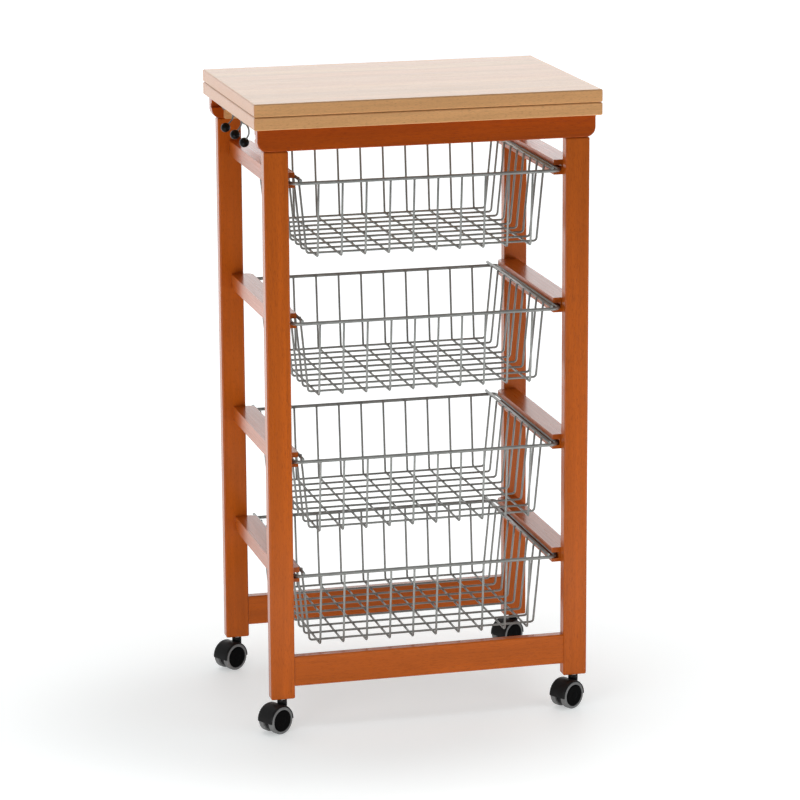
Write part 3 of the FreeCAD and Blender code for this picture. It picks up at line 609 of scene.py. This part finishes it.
class CART_OT_baskets(bpy.types.Operator):
    """Bent and welded wire baskets"""

    bl_idname = "cart.baskets"
    bl_label = "Baskets"
    long_count, cross_count = 10, 9
    thick_sides, thin_sides = 20, 12
    weld_share, weld_flat = 1.1, 0.6

    def execute(self, context):
        colours = context.scene.cart_colours
        finish = lacquered("basket_wire", colours.wire, rough=0.3, flake=0.35, shine=0.5)
        weld = lacquered("basket_weld", tint(colours.wire, 1.25), rough=0.4, flake=0.2, shine=0.4)
        for level in LEVELS:
            self.basket(level, finish, weld, context.scene.cart_sizes)
        return {"FINISHED"}

    def basket(self, level, finish, weld, s):
        """One basket, with its paths measured from the middle of its front rim wire."""
        low, high = (np.array(v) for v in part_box(level + "_basket_rim"))
        side_low, side_high = (np.array(v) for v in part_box(level + "_basket_side_wires"))
        long_low = np.array(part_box(level + "_basket_long_wires")[0])
        rim = (high[2] - low[2]) / 2
        at = np.array([0.0, low[1] + rim, (low[2] + high[2]) / 2])
        half, back = high[0] - rim, high[1] - rim - at[1]
        side = (side_high[2] - side_low[2]) / 2
        side_half, side_z = side_high[0] - side, side_high[2] - side - at[2]
        side_start, side_stop = side_low[1] - at[1], side_high[1] - at[1]
        body, slot = level + "_basket", "basket_wire"

        loop = bent(
            [(0, back, 0), (-half, back, 0), (-half, 0, 0), (half, 0, 0), (half, back, 0), (0, back, 0)],
            (s.rim_rear_corner, s.rim_corner, s.rim_corner, s.rim_rear_corner), steps=10)
        rim_wire = endless(loop[:-1] + at, Z, rim + s.coat, self.thick_sides)
        piece(level + "_rim", rim_wire, finish, body, [level + "_basket_rim"])

        side_wires = [
            bar(np.array([(x, side_start, side_z), (x, side_stop, side_z)]) + at, Z,
                side + s.coat, self.thick_sides, dome=0.12)
            for x in (-side_half, side_half)
        ]
        piece(level + "_side_wires", joined(*side_wires), finish, body, [level + "_basket_side_wires"])

        grid = s.grid_wire / 2
        floor = long_low[2] + grid - at[2]
        long_front = rim + s.weld_gap + grid
        long_back = back - long_front
        bends = (s.grid_bend, s.grid_bend)
        long_path = bent(
            [(0, long_front, s.grid_stub), (0, long_front + s.taper, floor), (0, long_back - s.taper, floor),
             (0, long_back, s.grid_stub)], bends, steps=6)
        columns = np.linspace(s.long_inset - half, half - s.long_inset, self.long_count)
        long_wires = copies(bar(long_path, X, grid + s.coat, self.thin_sides), at + columns[:, None] * X)
        piece(level + "_long_wires", long_wires, finish, body, [level + "_basket_long_wires"])

        lift = floor + s.grid_wire + s.weld_gap
        reach = side_half - side - s.weld_gap - grid
        top = side_z + s.grid_stub
        cross_path = bent(
            [(-reach, 0, top), (s.taper - reach, 0, lift), (reach - s.taper, 0, lift), (reach, 0, top)],
            bends, steps=6)
        rows = np.linspace(s.cross_start, back - s.cross_end, self.cross_count)
        cross_wires = copies(bar(cross_path, Y, grid + s.coat, self.thin_sides), at + rows[:, None] * Y)
        piece(level + "_cross_wires", cross_wires, finish, body, [level + "_basket_cross_wires"])

        spots = np.vstack([
            self.lattice(columns, rows, [(floor + lift) / 2]),
            self.lattice(columns, [rim, back - rim], [-s.grid_stub]),
            self.lattice([side - side_half, side_half - side], rows, [side_z - s.grid_stub]),
            self.lattice([-side_half, side_half], [0, back], [rim]),
        ])
        nugget = ball((grid + s.coat) * self.weld_share, self.weld_flat, columns=8, rows=4)
        piece(level + "_welds", copies(nugget, spots + at), weld, body)

    def lattice(self, across, along, up):
        """Points at every meeting of three lists of coordinates."""
        return np.stack([axis.ravel() for axis in np.meshgrid(across, along, up)], axis=-1)


class CART_OT_hooks(bpy.types.Operator):
    """Swivel hooks of bright wire with black balls"""

    bl_idname = "cart.hooks"
    bl_label = "Hooks"

    def execute(self, context):
        s, colours = context.scene.cart_sizes, context.scene.cart_colours
        bright = lacquered("hook_wire", colours.bright, rough=0.22, flake=0.5, shine=0.4)
        black = moulded("ball_plastic", colours.black, rough=0.26, grit_size=1800, relief=0.00004, shine=0.12)
        reach = s.hook_bend * math.tan(s.hook_sweep / 2)
        corner = np.array([s.hook_arm + reach, 0, -s.hook_shank])
        inward = np.array([math.cos(s.hook_sweep), 0, -math.sin(s.hook_sweep)])
        middle = corner + inward * (reach + s.hook_tail + s.ball_radius)
        tip = middle - inward * (s.ball_radius - s.ball_seat)
        stations = [(0, 0, s.hook_seat), (0, 0, -s.hook_shank), corner, tip]
        path = bent(stations, (s.hook_neck, s.hook_bend), steps=14)
        rod = bar(path, Y, s.hook_wire / 2, sides=16)
        knob = turned(spun(self.knob(s), sides=40), inward, Y, np.cross(inward, Y), middle)
        for end in HOOKS:
            place = np.array(JOINTS[end + "_hook_swivel"]["pos_m"])
            ball_low, ball_high = (np.array(v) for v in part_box(end + "_hook_ball"))
            arm = unit(((ball_low + ball_high) / 2 - place) * (1, 1, 0)) * math.copysign(1, middle[0])
            laid = (arm, np.cross(Z, arm), Z, place)
            body = end + "_swivel_hook"
            piece(end + "_hook_wire", turned(rod, *laid), bright, body, [end + "_hook"])
            piece(end + "_hook_knob", turned(knob, *laid), black, body, [end + "_hook_ball"])
        return {"FINISHED"}

    def knob(self, s):
        """Profile about X of a ball bored from its low end: half circle, eased mouth and blind bore."""
        bore = s.hook_wire / 2 + s.ball_gap
        flare, ease = 1.35, 0.0003
        mouth = flare * math.asin(bore / s.ball_radius)
        turn = np.linspace(mouth, np.pi, 28)
        arc = np.stack([-s.ball_radius * np.cos(turn), s.ball_radius * np.sin(turn)], axis=-1)
        arc[-1] = (s.ball_radius, 0)
        floor = s.ball_seat - s.ball_radius
        return np.vstack([[(floor, 0), (floor, bore), (arc[0, 0] + ease, bore)], arc])


class CART_OT_casters(bpy.types.Operator):
    """Twin-wheel casters with hoods, webs, tyres and hub discs"""

    bl_idname = "cart.casters"
    bl_label = "Casters"
    wheel_sides = 64

    # Radii of rounded edges.
    sharp, eased, soft, broad = 0.0002, 0.0004, 0.0012, 0.003
    eave_round, shoulder_round = 0.0008, 0.002

    # Rows of a neck's eased rim: how far in and how far down each lies.
    neck_rim = ((0.0, 0.0008), (0.0003, 0.0002), (0.0009, 0.0))

    def execute(self, context):
        s, colours = context.scene.cart_sizes, context.scene.cart_colours
        paler = tint(colours.black, 2.4)
        finishes = (
            moulded("hood_plastic", paler, rough=0.38, grit_size=1500, relief=0.00008, shine=0.15),
            moulded("hub_plastic", colours.black, rough=0.3, grit_size=1500, relief=0.00003, shine=0.02),
            moulded("tyre_rubber", colours.tyre, rough=0.55, grit_size=900, relief=0.0001, shine=0.25),
        )
        for corner in CORNERS:
            self.caster(corner, s, *finishes)
        return {"FINISHED"}

    def caster(self, corner, s, hood_finish, hub_finish, tyre_finish):
        """One caster, worked out from the middle of its axle: X along the axle, Y towards the stem, Z up."""
        axle = np.array(JOINTS[corner + "_wheel_spin"]["pos_m"])
        stem = np.array(JOINTS[corner + "_caster_swivel"]["pos_m"])
        ahead = (stem - axle) * (1, 1, 0)
        trail = np.linalg.norm(ahead)
        ahead = ahead / trail
        laid = (np.cross(ahead, Z), ahead, Z, axle)
        radius = axle[2]
        wheels = corner + "_wheels"
        tyres = self.pair(ring_solid(self.tyre(s, radius), self.wheel_sides))
        piece(corner + "_tyres", turned(tyres, *laid), tyre_finish, wheels,
              [corner + "_caster_tyres"])
        hubs = self.pair(spun(self.hub(s, radius), self.wheel_sides))
        piece(corner + "_hub_discs", turned(hubs, *laid), hub_finish, wheels,
              [corner + "_caster_hubs"])
        top = stem[2] - axle[2] - s.neck_gap
        hood = joined(self.shell(s, radius), self.web(s, radius), self.neck(s, radius, trail, top))
        piece(corner + "_hood", turned(hood, *laid), hood_finish, corner + "_caster",
              [corner + "_caster_hood"])

    def pair(self, shape):
        """The shape and its mirror image in the middle plane, whose faces are turned outwards again."""
        points, faces = shape
        return joined(shape, (points * (-1, 1, 1), flipped(faces)))

    def tyre(self, s, radius):
        """Profile of one tyre: a square section with rounded treads and sharper edges by the hub."""
        tread = radius - s.tyre_depth
        corners = [(s.wheel_in, tread), (s.wheel_in, radius), (s.wheel_out, radius), (s.wheel_out, tread)]
        return rounded_profile(corners, (self.sharp, s.wheel_round, s.wheel_round, self.eased), steps=5)

    def hub(self, s, radius):
        """Profile of one hub disc: a blind bore, a flat back, a sloped shoulder and a face with a hollow."""
        rim = radius - s.tyre_depth - s.hub_gap
        bore_end = s.wheel_out - s.hub_cover
        face = s.wheel_out + s.hub_crown
        shoulder = s.wheel_out - s.hub_step
        corners = [
            (bore_end, 0, 0), (bore_end, s.hub_bore, 0), (s.wheel_in, s.hub_bore, 0), (s.wheel_in, rim, 0),
            (shoulder, rim, 0), (face, rim - s.hub_bevel, 0), (face - s.hub_dish, s.hub_dish_radius, 0),
            (face, s.hub_boss, 0), (face, 0, 0)]
        radii = (self.sharp, self.sharp, self.sharp, self.eased, self.soft, self.broad, self.broad)
        return bent(corners, radii, steps=5)

    def shell(self, s, radius):
        """Barrel over the wheels: a thin rounded section carried a little more than half round the axle.

        A section point (x, r) goes to (x, r cos a, r sin a), with a from -droop to half a turn + droop.
        """
        half, inside = s.wheel_out, radius + s.hood_gap
        outside = inside + s.hood_wall
        shoulder, eave = half - s.hood_round, outside - s.hood_round / 2
        radii = (self.sharp, self.eave_round, self.shoulder_round)
        section = rounded_profile(
            [(-half, inside), (-half, eave), (-shoulder, outside),
             (shoulder, outside), (half, eave), (half, inside)],
            radii + radii[::-1], steps=4)
        rows, count = 48, len(section)
        a = np.linspace(-s.hood_droop, np.pi + s.hood_droop, rows)[:, None]
        x = np.broadcast_to(section[:, 0], (rows, count))
        points = np.stack([x, section[:, 1] * np.cos(a), section[:, 1] * np.sin(a)], axis=-1)
        around = np.arange(count)
        ends = np.stack([around, (rows - 1) * count + around[::-1]])
        return points.reshape(-1, 3), flipped([quads(rows, count, column_loop=True)]) + [ends]

    def web(self, s, radius):
        """Plate between the wheels: a disc with eased edges that grows by a smooth step above the axle.

        Its radius is tread - inset + rise * t^2 (3 - 2 t), with t = 1/2 + 6 sin a held between 0 and 1.
        """
        sides, slope = 96, 6
        a = np.linspace(0, 2 * np.pi, sides, endpoint=False)
        t = np.clip(0.5 + np.sin(a) * slope, 0, 1)
        reach = radius - s.web_inset + s.web_rise * t * t * (3 - 2 * t)
        flat = s.web_half - s.web_edge
        x = np.array([-s.web_half, -flat, flat, s.web_half])[:, None]
        r = reach + np.array([-s.web_edge, 0.0, 0.0, -s.web_edge])[:, None]
        points = np.stack([x + 0 * r, r * np.cos(a), r * np.sin(a)], axis=-1).reshape(-1, 3)
        around = np.arange(sides)
        ends = np.stack([around[::-1], (len(x) - 1) * sides + around])
        return points, [quads(len(x), sides, column_loop=True), ends]

    def neck(self, s, radius, trail, top):
        """Neck round the stem's pin: a closed ring from within the hood's wall to an eased rim.

        Each row is (w cos a, trail + w sin a, z); the foot's z is sqrt((radius + root)^2 - y^2).
        """
        sides = 40
        a = np.linspace(0, 2 * np.pi, sides, endpoint=False)
        wide, bore = s.neck_radius, s.pin_bore
        foot = np.sqrt((radius + s.neck_root) ** 2 - np.minimum(trail + wide * np.sin(a), radius) ** 2)
        level = top + 0 * a
        rim = [(wide - inset, level - drop) for inset, drop in self.neck_rim]
        rows = [(bore, foot), (wide, foot), *rim, (bore, level)]
        points = [np.stack([w * np.cos(a), trail + w * np.sin(a), z], axis=-1) for w, z in rows]
        return np.concatenate(points), [quads(len(rows), sides, row_loop=True, column_loop=True)]


class CART_OT_stage(bpy.types.Operator):
    """Pale floor, soft studio light and the camera"""

    bl_idname = "cart.stage"
    bl_label = "Stage"

    def execute(self, context):
        scene = context.scene
        self.floor(scene)
        self.sky(scene)
        for softbox in SOFTBOXES:
            self.softbox(scene, *softbox)
        self.camera(scene)
        scene.view_settings.view_transform = "Standard"
        return {"FINISHED"}

    def floor(self, scene):
        """Flat floor that glows: dim under the cart and far in front of it, bright round and behind it.

        Each range below is in metres, and the glow at its two ends follows it.
        """
        n = Nodes("studio_floor")
        base = scene.cart_colours.floor
        cloud = n.noise(n.place, scale=0.4, detail=1)
        across, along = n.axis(n.place, "X"), n.axis(n.place, "Y")
        away = n.distance(DIM_CENTRE, DIM_STRETCH)
        near = n.between(away, 0.17, 0.43, 0.355, 0.515)
        beyond = n.between(away, 0.36, 0.95, 0.0, 0.22)
        around = n.maths("MULTIPLY", n.maths("ADD", near, beyond), n.between(along, -1.8, -0.6))
        in_front = n.maths("MULTIPLY", n.between(along, -1.2, -0.8), n.between(along, -0.7, -0.45, 0.6, 0.0))
        behind = n.maths("MULTIPLY", n.between(along, 0.3, 1.2), n.between(along, 2.0, 3.5, 1.0, 0.4))
        behind_left = n.maths("MULTIPLY", behind, n.between(across, -0.95, -0.4, 0.75, 0.0))
        finish = n.finish(
            Base_Color=n.blend(n.between(cloud, 0.3, 0.7), tint(base, 0.99), tint(base, 1.0)),
            Roughness=0.6,
            Specular_IOR_Level=0.2,
            Emission_Color=(0.99, 1.0, 1.0, 1.0),
            Emission_Strength=n.maths("ADD", n.maths("ADD", around, in_front), behind_left),
        )
        mesh = bpy.data.meshes.new("floor")
        far = FLOOR_REACH
        mesh.from_pydata([(-far, -far, 0), (far, -far, 0), (far, far, 0), (-far, far, 0)], [], [(0, 1, 2, 3)])
        mesh.materials.append(finish)
        made = bpy.data.objects.new("floor", mesh)
        scene.collection.objects.link(made)

    def sky(self, scene):
        """Surroundings that are bright behind the cart near the floor's edge, by the direction's Y and Z."""
        world = bpy.data.worlds.new("studio")
        world.use_nodes = True
        tree = world.node_tree
        ahead = tree.nodes.new("ShaderNodeSeparateXYZ")
        tree.links.new(tree.nodes.new("ShaderNodeTexCoord").outputs["Generated"], ahead.inputs["Vector"])
        back = self.ramp(tree, ahead.outputs["Y"], 0.15, 0.9, 0.0, SKY_LOBE)
        low = self.ramp(tree, ahead.outputs["Z"], 0.25, 0.8, 1.0, 0.0)
        lobe = tree.nodes.new("ShaderNodeMath")
        lobe.operation = "MULTIPLY_ADD"
        tree.links.new(back, lobe.inputs[0])
        tree.links.new(low, lobe.inputs[1])
        lobe.inputs[2].default_value = SKY_LEVEL
        background = tree.nodes["Background"]
        background.inputs["Color"].default_value = (1.0, 1.0, 1.0, 1.0)
        tree.links.new(lobe.outputs["Value"], background.inputs["Strength"])
        scene.world = world

    def ramp(self, tree, value, low, high, to_low, to_high):
        """Smooth step of a value from one range to another."""
        made = tree.nodes.new("ShaderNodeMapRange")
        made.interpolation_type = "SMOOTHSTEP"
        numbers = {"From Min": low, "From Max": high, "To Min": to_low, "To Max": to_high}
        for key, number in numbers.items():
            made.inputs[key].default_value = number
        tree.links.new(value, made.inputs["Value"])
        return made.outputs["Result"]

    def softbox(self, scene, name, place, target, size, power):
        """Square area light that faces a target."""
        data = bpy.data.lights.new(name, "AREA")
        data.size = size
        data.energy = power
        lamp = bpy.data.objects.new(name, data)
        lamp.location = place
        lamp.visible_camera = False
        lamp.rotation_euler = (Vector(target) - Vector(place)).to_track_quat("-Z", "Y").to_euler()
        scene.collection.objects.link(lamp)

    def camera(self, scene):
        """Camera at the photo's viewpoint."""
        data = bpy.data.cameras.new("camera")
        data.sensor_width = 36.0
        data.lens = CAMERA_LENS
        data.clip_end = 200
        made = bpy.data.objects.new("camera", data)
        turn = Matrix((CAMERA_RIGHT, CAMERA_UP, CAMERA_BACK)).transposed()
        made.matrix_world = Matrix.Translation(CAMERA_PLACE) @ turn.to_4x4()
        scene.collection.objects.link(made)
        scene.camera = made


class CART_PT_panel(bpy.types.Panel):
    """Cart finishes and pieces"""

    bl_idname = "CART_PT_panel"
    bl_label = "Kitchen cart"
    bl_space_type = "VIEW_3D"
    bl_region_type = "UI"
    bl_category = "Cart"

    def draw(self, context):
        for group in (context.scene.cart_colours, context.scene.cart_sizes):
            for name in group.__annotations__:
                self.layout.prop(group, name)
        for operator in OPERATORS:
            self.layout.operator(operator.bl_idname)


OPERATORS = (CART_OT_wood, CART_OT_fixings, CART_OT_baskets, CART_OT_hooks, CART_OT_casters, CART_OT_stage)
CLASSES = (CartColours, CartSizes, *OPERATORS, CART_PT_panel)


def register():
    """Adds the classes and the scene's settings."""
    for made in CLASSES:
        bpy.utils.register_class(made)
    bpy.types.Scene.cart_colours = bpy.props.PointerProperty(type=CartColours)
    bpy.types.Scene.cart_sizes = bpy.props.PointerProperty(type=CartSizes)


def unregister():
    """Takes the settings and the classes away."""
    del bpy.types.Scene.cart_colours
    del bpy.types.Scene.cart_sizes
    for made in reversed(CLASSES):
        bpy.utils.unregister_class(made)


def main():
    """Runs every operator in order."""
    register()
    bpy.ops.cart.wood()
    bpy.ops.cart.fixings()
    bpy.ops.cart.baskets()
    bpy.ops.cart.hooks()
    bpy.ops.cart.casters()
    bpy.ops.cart.stage()
    bpy.context.view_layer.update()


if __name__ == "__main__":
    main()
